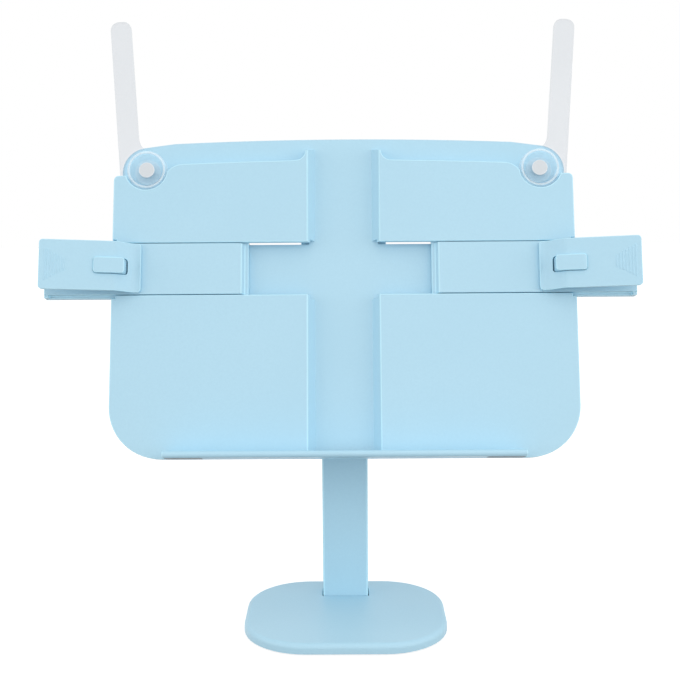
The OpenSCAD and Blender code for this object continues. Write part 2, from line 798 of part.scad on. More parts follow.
module clip_lever(s) {
    mid = (jaw_x + lever_end) / 2;
    color([0.71, 0.86, 0.93]) on_arm(s) difference() {
        union() {
            intersection() {
                rotate([90, 0, 0]) linear_extrude(lever_w, center = true) lever_profile();
                translate([mid, 0, 0]) linear_extrude(3 * post_h)
                    polygon(rounded(lever_end - jaw_x, lever_w, lever_corner_r));
            }
            // Jaw lip
            translate([jaw_x + 1, -lever_w / 2 + 3, 0.3]) cube([2, lever_w - 6, jaw_z - lever_t / 2 - 0.3]);
            // Hinge eyes under the plate
            for (e = [-1, 1]) translate([pin_x, e * (ear_boss_to + post_w / 2 + window_gap) / 2, 0]) {
                eye_l = ear_boss_to - post_w / 2 - window_gap;
                translate([0, 0, pin_z]) bar_y(ear_boss_r, eye_l);
                rotate([90, 0, 0]) linear_extrude(eye_l, center = true)
                    polygon([[-ear_boss_r, pin_z], [ear_boss_r, pin_z],
                             [ear_boss_r, lever_top(pin_x + ear_boss_r) - lever_t / 2],
                             [-ear_boss_r, lever_top(pin_x - ear_boss_r) - lever_t / 2]]);
            }
        }
        translate([post_mid + (window_gap - window_inner_gap) / 2, 0, -1]) linear_extrude(3 * post_h)
            polygon(rounded(post_l + window_gap + window_inner_gap, post_w + 2 * window_gap,
                            post_corner_r + window_gap));
        translate([pin_x, 0, pin_z]) bar_y(pin_r + seat_clear, lever_w + 1);
    }
}

module clip_pin(s) {
    color([0.75, 0.76, 0.77]) on_arm(s) translate([pin_x, 0, pin_z]) bar_y(pin_r, 2 * ear_boss_to);
}

// Torsion spring: a leg on the arm, a coil round the pin and a leg under the lever
coil_from = -90;
coil_to = 90 + leg_angle - 360 * (coil_turns + 1);
coil_rings = round(rings_per_turn * (coil_from - coil_to) / 360);

function coil_point(i) = let(a = coil_from + (coil_to - coil_from) * i / coil_rings)
    [pin_x + coil_r * cos(a), -coil_l / 2 + coil_l * i / coil_rings, pin_z + coil_r * sin(a)];

function spring_path() = concat(
    [[pin_x + leg_out, -coil_l / 2, pin_z - coil_r]],
    [for (i = [0:coil_rings]) coil_point(i)],
    [coil_point(coil_rings) + leg_up * [cos(leg_angle), 0, sin(leg_angle)]]);

function unit(v) = v / norm(v);

// Ring of points round a path's point, square to the path there
function ring(path, i) =
    let(ahead = unit(path[min(i + 1, len(path) - 1)] - path[max(i - 1, 0)]),
        across = unit(cross(ahead, unit([0.3, 1, 0.1]))),
        up = cross(ahead, across))
    [for (k = [0:ring_sides - 1]) let(a = 360 * k / ring_sides)
        path[i] + wire_r * (across * cos(a) + up * sin(a))];

module wire(path) {
    n = len(path);
    points = [for (i = [0:n - 1]) each ring(path, i)];
    walls = [for (i = [0:n - 2], k = [0:ring_sides - 1])
        let(a = i * ring_sides + k, b = i * ring_sides + (k + 1) % ring_sides)
        each [[a, b, b + ring_sides], [a, b + ring_sides, a + ring_sides]]];
    ends = [for (k = [1:ring_sides - 2]) each
        [[0, k + 1, k], [(n - 1) * ring_sides, (n - 1) * ring_sides + k, (n - 1) * ring_sides + k + 1]]];
    polyhedron(points = points, faces = concat(walls, ends));
}

// Least gap between turns, on points of the path that lie more than half a turn apart
function spring_gap(path) = min([for (i = [0:len(path) - 1], j = [i + rings_per_turn / 2:len(path) - 1])
    norm(path[i] - path[j])]) - 2 * wire_r;

module clip_spring(s) {
    path = spring_path();
    echo(least_spring_gap = spring_gap(path));
    color([0.75, 0.76, 0.77]) on_arm(s) wire(path);
}

// Swing arms

module swing_plan() {
    top = swing_len - swing_tip_r;
    outer = swing_offset + swing_w;
    flare_y = sqrt(pow(disc_r + swing_flare_r, 2) - pow(swing_offset - swing_flare_r, 2));
    flare = [swing_offset - swing_flare_r, flare_y];
    polygon(concat(
        [[0, -heel], [outer, -heel]],
        arc([outer - swing_tip_r, top], swing_tip_r, 0, 90, 8),
        arc([swing_offset + swing_tip_r, top], swing_tip_r, 90, 180, 8),
        arc(flare, swing_flare_r, 0, atan2(-flare.y, -flare.x), 8)));
}

module swing_arm(s) {
    color([0.9, 0.92, 0.94, 0.6]) on_pivot(s) rotate([0, 0, -swing_lean]) difference() {
        union() {
            translate([0, 0, swing_back]) linear_extrude(swing_t) swing_plan();
            translate([0, 0, swing_back]) cylinder(r = disc_r, h = swing_t, $fn = 96);
            translate([0, 0, swing_back]) cylinder(r = boss_r, h = swing_t + boss_h, $fn = 96);
        }
        translate([0, 0, swing_back + swing_t + boss_h - hollow_d])
            cylinder(r = hollow_r, h = boss_h, $fn = 96);
        translate([0, 0, swing_back - 1])
            cylinder(r = pivot_r + run_clear, h = swing_t + boss_h, $fn = round_fn);
    }
}

module pivot_pin(s) {
    head_z = swing_back + swing_t + boss_h - hollow_d + seat_clear;
    end_z = -board_t - retainer_t + retainer_skin + seat_clear;
    color([0.88, 0.89, 0.9]) on_pivot(s) {
        translate([0, 0, head_z]) cylinder(r = pivot_head_r, h = pin_head_t, $fn = round_fn);
        translate([0, 0, end_z]) cylinder(r = pivot_r, h = head_z - end_z + eps, $fn = round_fn);
    }
}

module pivot_washer(s) {
    color([0.85, 0.85, 0.83]) on_pivot(s) translate([0, 0, -pad_rise]) difference() {
        cylinder(r = pivot_washer_r, h = swing_back + pad_rise - run_clear, $fn = round_fn);
        translate([0, 0, -1]) cylinder(r = pivot_r + slip, h = 4, $fn = round_fn);
    }
}

module pivot_retainer(s) {
    color([0.88, 0.89, 0.9]) on_pivot(s) translate([0, 0, -board_t - retainer_t]) difference() {
        cylinder(r = retainer_r, h = retainer_t, $fn = round_fn);
        translate([0, 0, retainer_skin]) cylinder(r = pivot_r + seat_clear, h = retainer_t, $fn = round_fn);
    }
}

base_shell();
base_plate();
base_weight();
base_mat();
plate_screws();
column_screws();
column();
column_cover();
column_cover_screws();
panel();
ledge_strips();
tilt_bracket();
bracket_screws();
hinge_bolt();
hinge_nut();
hinge_washers();
hinge_caps();
slide_arm(LEFT);  // left_slide_arm
clip_lever(LEFT);  // left_clip_lever
clip_pin(LEFT);  // left_clip_pin
clip_spring(LEFT);  // left_clip_spring
slide_arm(RIGHT);  // right_slide_arm
clip_lever(RIGHT);  // right_clip_lever
clip_pin(RIGHT);  // right_clip_pin
clip_spring(RIGHT);  // right_clip_spring
swing_arm(LEFT);  // left_swing_arm
pivot_pin(LEFT);  // left_pivot_pin
pivot_washer(LEFT);  // left_pivot_washer
pivot_retainer(LEFT);  // left_pivot_retainer
swing_arm(RIGHT);  // right_swing_arm
pivot_pin(RIGHT);  // right_pivot_pin
pivot_washer(RIGHT);  // right_pivot_washer
pivot_retainer(RIGHT);  // right_pivot_retainer
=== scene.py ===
import math

import bmesh
import bpy
from mathutils import Matrix, Vector


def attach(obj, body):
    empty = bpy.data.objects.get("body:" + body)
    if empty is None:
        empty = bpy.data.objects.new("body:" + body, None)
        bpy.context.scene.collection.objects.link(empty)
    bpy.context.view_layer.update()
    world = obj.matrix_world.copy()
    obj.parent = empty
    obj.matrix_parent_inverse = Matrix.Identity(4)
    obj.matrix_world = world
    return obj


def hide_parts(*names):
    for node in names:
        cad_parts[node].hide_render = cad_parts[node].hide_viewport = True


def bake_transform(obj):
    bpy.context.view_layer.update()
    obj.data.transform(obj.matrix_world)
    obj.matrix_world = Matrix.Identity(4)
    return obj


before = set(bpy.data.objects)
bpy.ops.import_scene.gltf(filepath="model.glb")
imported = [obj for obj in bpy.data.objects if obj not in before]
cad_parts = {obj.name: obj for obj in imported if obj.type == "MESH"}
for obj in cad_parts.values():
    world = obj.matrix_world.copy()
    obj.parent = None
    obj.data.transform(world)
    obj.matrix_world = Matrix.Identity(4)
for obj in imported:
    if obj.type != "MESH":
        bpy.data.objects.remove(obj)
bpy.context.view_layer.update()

scene = bpy.context.scene
scene.view_settings.view_transform = "Standard"


# The room: a pale seamless floor, a white background and large soft lamps, as in a product photograph.
# The camera stands straight in front of the stand, a little above the panel's middle, and is held
# slightly askew.
camera_place = Vector((0.00146, -0.67565, 0.28386))
camera_down = math.radians(9.073)
camera_right = math.radians(-0.327)
camera_askew = math.radians(0.393)
focal_px, photo_px, sensor_mm = 1150.0, 680.0, 36.0

ahead = Vector((math.sin(camera_right) * math.cos(camera_down),
                math.cos(camera_right) * math.cos(camera_down), -math.sin(camera_down)))
rightward = Vector((math.cos(camera_right), -math.sin(camera_right), 0))
upward = rightward.cross(ahead)
rightward, upward = (rightward * math.cos(camera_askew) - upward * math.sin(camera_askew),
                     upward * math.cos(camera_askew) + rightward * math.sin(camera_askew))
camera = bpy.data.objects.new("camera", bpy.data.cameras.new("camera"))
camera.data.sensor_width = sensor_mm
camera.data.lens = sensor_mm * focal_px / photo_px
camera.data.clip_start = 0.01
camera.matrix_world = Matrix.Translation(camera_place) @ Matrix(
    (rightward, upward, -ahead)).transposed().to_4x4()
scene.collection.objects.link(camera)
scene.camera = camera


def node_maker(tree):
    """A maker of a tree's nodes, whose inputs are plain values, sockets to link, or lists of sockets."""
    def node(kind, inputs=None, **settings):
        made = tree.nodes.new(kind)
        for key, value in settings.items():
            setattr(made, key, value)
        for key, value in (inputs or {}).items():
            for each in value if isinstance(value, list) else [value]:
                if isinstance(each, bpy.types.NodeSocket):
                    tree.links.new(each, made.inputs[key])
                else:
                    made.inputs[key].default_value = each
        return made

    return node


def new_material(name):
    """A node material with its node tree, its Principled shader and a maker of nodes."""
    material = bpy.data.materials.new(name)
    material.use_nodes = True
    tree = material.node_tree
    return material, tree, tree.nodes["Principled BSDF"], node_maker(tree)


def seen_directly(node):
    """1 where the camera, a reflection or a clear piece looks at the surface, 0 for light that bounces."""
    path = node("ShaderNodeLightPath")
    first = node("ShaderNodeMath", {0: path.outputs["Is Camera Ray"], 1: path.outputs["Is Glossy Ray"]},
                 operation="MAXIMUM")
    return node("ShaderNodeMath", {0: first.outputs[0], 1: path.outputs["Is Transmission Ray"]},
                operation="MAXIMUM").outputs[0]


world = bpy.data.worlds.new("studio")
world.use_nodes = True
scene.world = world
sky = world.node_tree
sky_node = node_maker(sky)
ambient = sky.nodes["Background"]
ambient.inputs["Color"].default_value = (0.97, 0.985, 1.0, 1)
ambient.inputs["Strength"].default_value = 0.73
backdrop = sky_node("ShaderNodeBackground", {"Color": (1, 1, 1, 1), "Strength": 1.0})
sky_mix = sky_node("ShaderNodeMixShader", {0: seen_directly(sky_node), 1: ambient.outputs[0],
                                           2: backdrop.outputs[0]})
sky.links.new(sky_mix.outputs[0], sky.nodes["World Output"].inputs["Surface"])

floor_half, floor_drop = 3.0, 0.0002
floor_mesh = bpy.data.meshes.new("floor")
floor_mesh.from_pydata([(floor_half * x, floor_half * y, -floor_drop)
                        for x, y in ((-1, -1), (1, -1), (1, 1), (-1, 1))], [], [(0, 1, 2, 3)])
floor = bpy.data.objects.new("floor", floor_mesh)
scene.collection.objects.link(floor)
paper, tree, shader, node = new_material("white_paper")
fibre = node("ShaderNodeTexNoise", {"Vector": node("ShaderNodeTexCoord").outputs["Object"],
                                    "Scale": 900.0, "Detail": 3.0})
paper_tone = node("ShaderNodeMapRange", {"Value": fibre.outputs["Fac"], "To Min": 0.44, "To Max": 0.46})
paper_colour = node("ShaderNodeCombineColor", {channel: paper_tone.outputs[0] for channel in range(3)})
tree.links.new(paper_colour.outputs[0], shader.inputs["Base Color"])
shader.inputs["Roughness"].default_value = 0.95
shader.inputs["Specular IOR Level"].default_value = 0.0
shader.inputs["Emission Color"].default_value = (1, 1, 1, 1)
paper_glow = node("ShaderNodeMath", {0: seen_directly(node), 1: 0.8}, operation="MULTIPLY")
tree.links.new(paper_glow.outputs[0], shader.inputs["Emission Strength"])
floor_mesh.materials.append(paper)


def soft_lamp(name, place, aim, width, power):
    """A rectangular soft lamp, four fifths as high as it is wide, turned to what it is aimed at."""
    lamp = bpy.data.lights.new(name, "AREA")
    lamp.shape = "RECTANGLE"
    lamp.size = width
    lamp.size_y = width * 0.8
    lamp.energy = power
    holder = bpy.data.objects.new(name, lamp)
    holder.matrix_world = Matrix.Translation(place) @ (
        Vector(aim) - Vector(place)).to_track_quat("-Z", "Y").to_matrix().to_4x4()
    scene.collection.objects.link(holder)


soft_lamp("front_lamp", (0.3, -1.7, 0.9), (0, 0, 0.2), width=1.6, power=5.0)
soft_lamp("top_lamp", (0.25, -0.5, 1.7), (0, 0, 0.1), width=1.4, power=2.0)
for side, power in ((-1, 5.4), (1, 6.4)):
    soft_lamp("side_lamp", (1.5 * side, -0.7, 0.55), (0, 0, 0.2), width=1.2, power=power)


# The base's underside: a grey rubber mat glued into the bottom plate, so that the stand doesn't slide.
# The mat is die-cut sheet with a fine pebbled face and round holes over the screws.
def moulded_copy(name, node_name, edge, segments=3, rounded=None):
    """A CAD node's shape as one closed skin with rounded edges, as it leaves its mould.

    The faces of the rounded edges get the attribute edge. Where rounded is given, it tells whether a
    place is among the edges that are rounded."""
    merge_within, flat_within = 2e-6, math.radians(0.05)
    rounded_from = math.radians(32.0)
    flat_slot, edge_slot = 0, 1
    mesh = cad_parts[node_name].data.copy()
    mesh.name = name
    mesh.materials.clear()
    skin = bmesh.new()
    skin.from_mesh(mesh)
    bmesh.ops.remove_doubles(skin, verts=skin.verts, dist=merge_within)
    chosen = [line for line in skin.edges
              if not rounded or any(rounded(end.co) for end in line.verts)]
    bmesh.ops.dissolve_limit(skin, angle_limit=flat_within, verts=[] if rounded else skin.verts,
                             edges=chosen)
    weight = skin.edges.layers.float.new("bevel_weight_edge")
    for line in skin.edges:
        within = not rounded or all(rounded(end.co) for end in line.verts)
        if within and line.calc_face_angle(0) > rounded_from:
            line[weight] = 1.0
    skin.to_mesh(mesh)
    skin.free()
    for layer in list(mesh.uv_layers):
        mesh.uv_layers.remove(layer)
    for slot in (flat_slot, edge_slot):
        mesh.materials.append(None)
    piece = bpy.data.objects.new(name, mesh)
    scene.collection.objects.link(piece)
    rounding = piece.modifiers.new("rounded_edges", "BEVEL")
    rounding.material = edge_slot
    rounding.width = edge
    rounding.segments = segments
    rounding.limit_method = "WEIGHT"
    rounding.loop_slide = not rounded
    rounding.use_clamp_overlap = False
    rounding.miter_outer = "MITER_ARC"
    settle(piece)
    edges = piece.data.attributes.new("edge", "FLOAT", "FACE")
    for face in piece.data.polygons:
        edges.data[face.index].value = face.material_index
        face.material_index = flat_slot
    return piece


def settle(piece):
    """Applies a piece's modifiers and shades it smooth up to an angle, with its large flats kept flat."""
    smooth_within = math.cos(math.radians(48.0))
    bpy.context.view_layer.update()
    evaluated = piece.evaluated_get(bpy.context.evaluated_depsgraph_get())
    finished = bpy.data.meshes.new_from_object(evaluated)
    finished.name = piece.name
    raw = piece.data
    piece.modifiers.clear()
    piece.data = finished
    bpy.data.meshes.remove(raw)
    around = [[] for vertex in finished.vertices]
    for face in finished.polygons:
        corners = [finished.vertices[index].co for index in face.vertices]
        for step, index in enumerate(face.vertices):
            before, after = corners[step - 1], corners[(step + 1) % len(corners)]
            share = face.area * (before - corners[step]).angle(after - corners[step], 0.0)
            around[index].append((face.normal.copy(), share))
    normals = []
    for face in finished.polygons:
        own = face.normal.copy()
        for index in face.vertices:
            near = [share * normal for normal, share in around[index]
                    if own.dot(normal) > smooth_within]
            mean = sum(near, Vector())
            normals.append(mean.normalized() if mean.length > 0 else own)
    finished.shade_smooth()
    finished.normals_split_custom_set(normals)
    return piece


def stands_for(piece, material, body, slot, *nodes):
    """Gives a piece its material, puts it on its body and lets it stand for its CAD nodes."""
    piece.data.materials.clear()
    piece.data.materials.append(material)
    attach(piece, body)
    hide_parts(*nodes)


def pebbled_rubber(name, dark, light, pebble):
    """Matt rubber with a pebbled face, a dusty bloom and small differences in tone."""
    material, tree, shader, node = new_material(name)
    place = node("ShaderNodeTexCoord").outputs["Object"]
    bloom = node("ShaderNodeTexNoise", {"Vector": place, "Scale": 60.0, "Detail": 5.0, "Roughness": 0.6})
    tone = node("ShaderNodeMix", {0: bloom.outputs["Fac"], 6: dark, 7: light}, data_type="RGBA")
    tree.links.new(tone.outputs[2], shader.inputs["Base Color"])
    pebbles = node("ShaderNodeTexVoronoi", {"Vector": place, "Scale": pebble}, feature="SMOOTH_F1")
    relief = node("ShaderNodeBump", {"Height": pebbles.outputs["Distance"], "Strength": 0.35,
                                     "Distance": 0.0002})
    tree.links.new(relief.outputs[0], shader.inputs["Normal"])
    sheen = node("ShaderNodeMapRange", {"Value": bloom.outputs["Fac"], "To Min": 0.72, "To Max": 0.9})
    tree.links.new(sheen.outputs[0], shader.inputs["Roughness"])
    shader.inputs["Specular IOR Level"].default_value = 0.3
    return material


mat_rubber = pebbled_rubber("mat_rubber", dark=(0.035, 0.037, 0.04, 1), light=(0.06, 0.062, 0.066, 1),
                            pebble=900.0)
mat = moulded_copy("base_mat_sheet", "base_mat", edge=0.0003, segments=2)
stands_for(mat, mat_rubber, "stand", "mat_rubber", "base_mat")


# The base's shell: pale-blue plastic, injection moulded with a fine satin grain.
# It has a rounded top edge, a socket for the post and four short posts for the bottom plate's screws.
def satin_plastic(name, colour, shade, rough=0.42, grain=0.05):
    """Moulded plastic with a fine grain, faint flow marks, handled patches and a painted highlight that
    makes its rounded edges lighter.
    """
    edge_highlight_gain = 1.17
    material, tree, shader, node = new_material(name)
    place = node("ShaderNodeTexCoord").outputs["Object"]
    flow = node("ShaderNodeTexNoise", {"Vector": place, "Scale": 9.0, "Detail": 3.0, "Distortion": 0.6})
    fleck = node("ShaderNodeTexNoise", {"Vector": place, "Scale": 700.0, "Detail": 2.0})
    blend = node("ShaderNodeMath", {0: flow.outputs["Fac"], 1: fleck.outputs["Fac"]},
                 operation="MULTIPLY")
    tone = node("ShaderNodeMapRange", {"Value": blend.outputs[0], "From Min": 0.12, "From Max": 0.4})
    colours = node("ShaderNodeMix", {0: tone.outputs[0], 6: shade, 7: colour}, data_type="RGBA")
    # The faces of the rounded edges are painted 17 % lighter, a painted highlight for the light that rounded
    # edges catch.
    edge = node("ShaderNodeAttribute", attribute_name="edge").outputs["Fac"]
    edge_highlight_colour = tuple(min(1.0, edge_highlight_gain * channel) for channel in colour)
    painted_edge_highlight = node("ShaderNodeMix", {0: edge, 6: colours.outputs[2], 7: edge_highlight_colour}, data_type="RGBA")
    tree.links.new(painted_edge_highlight.outputs[2], shader.inputs["Base Color"])
    texture = node("ShaderNodeTexNoise", {"Vector": place, "Scale": 2600.0, "Detail": 3.0,
                                          "Roughness": 0.6})
    relief = node("ShaderNodeBump", {"Height": texture.outputs["Fac"], "Strength": grain,
                                     "Distance": 0.0001})
    tree.links.new(relief.outputs[0], shader.inputs["Normal"])
    handled = node("ShaderNodeTexNoise", {"Vector": place, "Scale": 22.0, "Detail": 4.0})
    gloss = node("ShaderNodeMapRange", {"Value": handled.outputs["Fac"], "From Min": 0.3, "From Max": 0.7,
                                        "To Min": rough - 0.04, "To Max": rough + 0.06})
    tree.links.new(gloss.outputs[0], shader.inputs["Roughness"])
    shader.inputs["IOR"].default_value = 1.52
    shader.inputs["Specular IOR Level"].default_value = 0.4
    return material


blue_shell = satin_plastic("blue_satin_shell", colour=(0.490, 0.748, 0.884, 1),
                           shade=(0.468, 0.725, 0.862, 1))
blue_cover = satin_plastic("blue_satin_cover", colour=(0.453, 0.702, 0.838, 1),
                           shade=(0.433, 0.680, 0.816, 1), rough=0.5, grain=0.09)
shell = moulded_copy("base_shell_moulding", "base_shell", edge=0.0004, segments=2)
stands_for(shell, blue_shell, "stand", "blue_shell", "base_shell")


# The base's bottom plate and the weight that lies on it: rolled steel, the plate stamped and the weight
# sawn. Mill scale leaves them dull; the post is screwed to the plate through the socket.
def worked_steel(name, colour, shade, rough, stretch):
    """Steel with fine lines from drawing or rolling, in the direction that stretch keeps long."""
    material, tree, shader, node = new_material(name)
    place = node("ShaderNodeTexCoord").outputs["Object"]
    lines = node("ShaderNodeMapping", {"Vector": place, "Scale": stretch})
    marks = node("ShaderNodeTexNoise", {"Vector": lines.outputs[0], "Scale": 500.0, "Detail": 4.0})
    tone = node("ShaderNodeMix", {0: marks.outputs["Fac"], 6: shade, 7: colour}, data_type="RGBA")
    tree.links.new(tone.outputs[2], shader.inputs["Base Color"])
    gloss = node("ShaderNodeMapRange", {"Value": marks.outputs["Fac"], "To Min": rough - 0.06,
                                        "To Max": rough + 0.1})
    tree.links.new(gloss.outputs[0], shader.inputs["Roughness"])
    relief = node("ShaderNodeBump", {"Height": marks.outputs["Fac"], "Strength": 0.08,
                                     "Distance": 0.00005})
    tree.links.new(relief.outputs[0], shader.inputs["Normal"])
    shader.inputs["Metallic"].default_value = 1.0
    return material


rolled_steel = worked_steel("rolled_steel", colour=(0.34, 0.35, 0.37, 1), shade=(0.2, 0.205, 0.215, 1),
                            rough=0.55, stretch=(0.1, 1, 1))
weight = moulded_copy("base_weight_plate", "base_weight", edge=0.0004, segments=2)
stands_for(weight, rolled_steel, "stand", "weight_steel", "base_weight")
plate = moulded_copy("base_bottom_plate", "base_plate", edge=0.0002, segments=2)
stands_for(plate, rolled_steel, "stand", "weight_steel", "base_plate")


# The post: a flat hollow moulding, upright in the base's socket, open behind and closed by a screwed-on
# cover. Its head is round, so that the bracket's ears can turn about it.
post = moulded_copy("column_moulding", "column", edge=0.0011, segments=4)
stands_for(post, blue_shell, "stand", "blue_shell", "column")
post_cover = moulded_copy("column_rear_cover", "column_cover", edge=0.0004, segments=2)
stands_for(post_cover, blue_cover, "stand", "blue_cover", "column_cover")


# The panel: one large moulding with four raised pads, a cross of channels and the book ledge.
# Ribs stiffen it behind, and the cross channel is undercut to guide the clip arms.
tilt = math.radians(17.2)
panel_up = Vector((0, math.sin(tilt), math.cos(tilt)))
panel_out = Vector((0, -math.cos(tilt), math.sin(tilt)))
hinge_place = Vector((0, 0.0304, 0.1949))
hinge_up, hinge_behind = 0.097, 0.0206
panel_foot = hinge_place - hinge_up * panel_up + hinge_behind * panel_out
mm = 0.001


def on_panel(x, up, out):
    """A place on the panel, in mm across, up the panel and out from the pads, as metres in the frame."""
    return panel_foot + mm * (Vector((x, 0, 0)) + up * panel_up + out * panel_out)


def on_panel_face(place):
    """The edges of the pads and the ledge are rounded, those of the slots and ribs behind are left sharp."""
    pad_depth = 0.0003
    return (place - panel_foot).dot(panel_out) > -pad_depth


panel = moulded_copy("panel_moulding", "panel", edge=0.0006, rounded=on_panel_face)
stands_for(panel, blue_shell, "panel", "blue_shell", "panel")


# Rubber strips under the ends of the ledge, cut from grey sheet and glued on.
# They have a matt, lightly pebbled face.
strip_rubber = pebbled_rubber("strip_rubber", dark=(0.47, 0.52, 0.55, 1), light=(0.53, 0.58, 0.61, 1),
                              pebble=1500.0)
strips = moulded_copy("ledge_rubber_strips", "ledge_strips", edge=0.0003, segments=2)
stands_for(strips, strip_rubber, "panel", "grey_rubber", "ledge_strips")


# The tilt hinge: a moulded bracket screwed to the panel's back, a steel bolt and nut through the post's
# head, two slippery friction washers between the ears and the post, and two plugs over the bolt's ends.
bracket = moulded_copy("tilt_bracket_moulding", "tilt_bracket", edge=0.0006)
stands_for(bracket, blue_cover, "panel", "blue_cover", "tilt_bracket")
caps = moulded_copy("hinge_plugs", "hinge_caps", edge=0.0004)
stands_for(caps, blue_cover, "panel", "blue_cover", "hinge_caps")
drawn_steel = worked_steel("bright_zinc_steel", colour=(0.62, 0.63, 0.64, 1), shade=(0.5, 0.51, 0.53, 1),
                           rough=0.3, stretch=(0.15, 1, 1))
bolt = moulded_copy("hinge_bolt_steel", "hinge_bolt", edge=0.0004)
stands_for(bolt, drawn_steel, "panel", "screw_steel", "hinge_bolt")
nut = moulded_copy("hinge_nut_steel", "hinge_nut", edge=0.0003, segments=2)
stands_for(nut, drawn_steel, "panel", "screw_steel", "hinge_nut")
slip_plastic = satin_plastic("slip_plastic", colour=(0.72, 0.72, 0.69, 1), shade=(0.68, 0.68, 0.65, 1),
                             rough=0.5, grain=0.03)
washers = moulded_copy("hinge_friction_washers", "hinge_washers", edge=0.0001, segments=1)
stands_for(washers, slip_plastic, "panel", "white_washer", "hinge_washers")


# The clip arms: hollow slides with guide rails, sloped at the inner end and closed by a block at the
# outer end. A post stands on each for its clip; both are moulded in the panel's plastic.
hands = {"left": -1, "right": 1}
for hand in hands:
    arm = moulded_copy(hand + "_slide_moulding", hand + "_slide_arm", edge=0.0005)
    stands_for(arm, blue_shell, hand + "_arm", "blue_shell", hand + "_slide_arm")


# The clip levers: bent plates that rock on a steel pin, with a jaw at the inner end and grip ribs outside.
# They are moulded in one with the eyes that hold the pin.
for hand in hands:
    lever = moulded_copy(hand + "_clip_moulding", hand + "_clip_lever", edge=0.0004)
    stands_for(lever, blue_shell, hand + "_clip", "blue_shell", hand + "_clip_lever")
    clip_pin = moulded_copy(hand + "_clip_pin_steel", hand + "_clip_pin", edge=0.0003)
    stands_for(clip_pin, drawn_steel, hand + "_arm", "screw_steel", hand + "_clip_pin")


# The screws: zinc-plated pan heads with a cross recess, turned in to any angle.
# Four hold the base's plate, two the post, three the post's cover and four the hinge bracket.
def node_group(name, *sockets):
    """An empty Geometry Nodes tree with named inputs, a maker of its nodes and its input sockets by name."""
    group = bpy.data.node_groups.new(name, "GeometryNodeTree")
    group.interface.new_socket("Geometry", in_out="INPUT", socket_type="NodeSocketGeometry")
    for label, kind in sockets:
        group.interface.new_socket(label, in_out="INPUT", socket_type="NodeSocket" + kind)
    group.interface.new_socket("Geometry", in_out="OUTPUT", socket_type="NodeSocketGeometry")
    node = node_maker(group)
    return group, node, node("NodeGroupInput").outputs


def times(node, value, factor):
    """A length times a factor, in a node tree."""
    return node("ShaderNodeMath", {0: value, 1: factor}, operation="MULTIPLY").outputs[0]


def finish_group(node, shapes, material):
    """Ends a tree: its shapes are made real and get the material."""
    real = node("GeometryNodeRealizeInstances", {"Geometry": shapes})
    dressed = node("GeometryNodeSetMaterial", {"Geometry": real.outputs[0], "Material": material})
    node("NodeGroupOutput", {"Geometry": dressed.outputs[0]})


def repeated(name, group, points, values, joined=False):
    """A plain mesh made by a tree from points, joined in a line or not, with the tree's inputs set."""
    mesh = bpy.data.meshes.new(name + "_points")
    lines = [(step, step + 1) for step in range(len(points) - 1)] if joined else []
    mesh.from_pydata([tuple(point) for point in points], lines, [])
    piece = bpy.data.objects.new(name, mesh)
    scene.collection.objects.link(piece)
    maker = piece.modifiers.new("repeat", "NODES")
    maker.node_group = group
    for item in group.interface.items_tree:
        if item.in_out == "INPUT" and item.name in values:
            maker[item.identifier] = values[item.name]
    return settle(piece)


dome_spread, dome_rise = 1.06, 1.15
cross_reach, cross_width, cross_depth = 1.2, 0.26, 1.05
shaft_seat = 0.49
screw_group, node, given = node_group(
    "pan_head_screws", ("Head Radius", "Float"), ("Head Height", "Float"), ("Shaft Radius", "Float"),
    ("Shaft Length", "Float"), ("Turn", "Vector"), ("Seed", "Int"), ("Material", "Material"))
half_head = node("ShaderNodeCombineXYZ", {2: times(node, given["Head Height"], -0.5)})
blank = node("GeometryNodeMeshCylinder", {"Vertices": 40, "Radius": given["Head Radius"],
                                          "Depth": given["Head Height"]})
blank = node("GeometryNodeTransform", {"Geometry": blank.outputs["Mesh"],
                                       "Translation": half_head.outputs[0]})
wide = times(node, given["Head Radius"], dome_spread)
dome_size = node("ShaderNodeCombineXYZ", {0: wide, 1: wide,
                                          2: times(node, given["Head Height"], dome_rise)})
dome = node("GeometryNodeMeshUVSphere", {"Segments": 40, "Rings": 24, "Radius": 1.0})
dome = node("GeometryNodeTransform", {"Geometry": dome.outputs["Mesh"], "Scale": dome_size.outputs[0]})
head = node("GeometryNodeMeshBoolean", {"Mesh 2": [blank.outputs[0], dome.outputs[0]]},
            operation="INTERSECT")
long_side = times(node, given["Head Radius"], cross_reach)
short_side = times(node, given["Head Radius"], cross_width)
recess_floor = node("ShaderNodeCombineXYZ", {2: times(node, given["Head Height"], -cross_depth)})
cross = []
for first, second in ((long_side, short_side), (short_side, long_side)):
    box_size = node("ShaderNodeCombineXYZ", {0: first, 1: second, 2: given["Head Height"]})
    box = node("GeometryNodeMeshCube", {"Size": box_size.outputs[0]})
    cross.append(node("GeometryNodeTransform", {"Geometry": box.outputs["Mesh"],
                                                "Translation": recess_floor.outputs[0]}).outputs[0])
head = node("GeometryNodeMeshBoolean", {"Mesh 1": head.outputs["Mesh"], "Mesh 2": cross},
            operation="DIFFERENCE")
shaft = node("GeometryNodeMeshCylinder", {"Vertices": 24, "Radius": given["Shaft Radius"],
                                          "Depth": given["Shaft Length"]})
shaft_lift = node("ShaderNodeCombineXYZ", {2: times(node, given["Shaft Length"], shaft_seat)})
shaft = node("GeometryNodeTransform", {"Geometry": shaft.outputs["Mesh"],
                                       "Translation": shaft_lift.outputs[0]})
screw = node("GeometryNodeMeshBoolean", {"Mesh 2": [head.outputs["Mesh"], shaft.outputs[0]]},
             operation="UNION")
spin = node("FunctionNodeRandomValue", {"Min": 0.0, "Max": 3.0, "Seed": given["Seed"]}, data_type="FLOAT")
spin = next(socket for socket in spin.outputs if socket.enabled)
spin = node("FunctionNodeAxisAngleToRotation", {"Axis": (0, 0, 1), "Angle": spin})
turn = node("FunctionNodeEulerToRotation", {"Euler": given["Turn"]})
turned = node("FunctionNodeRotateRotation", {"Rotation": turn.outputs[0], "Rotate By": spin.outputs[0]},
              rotation_space="LOCAL")
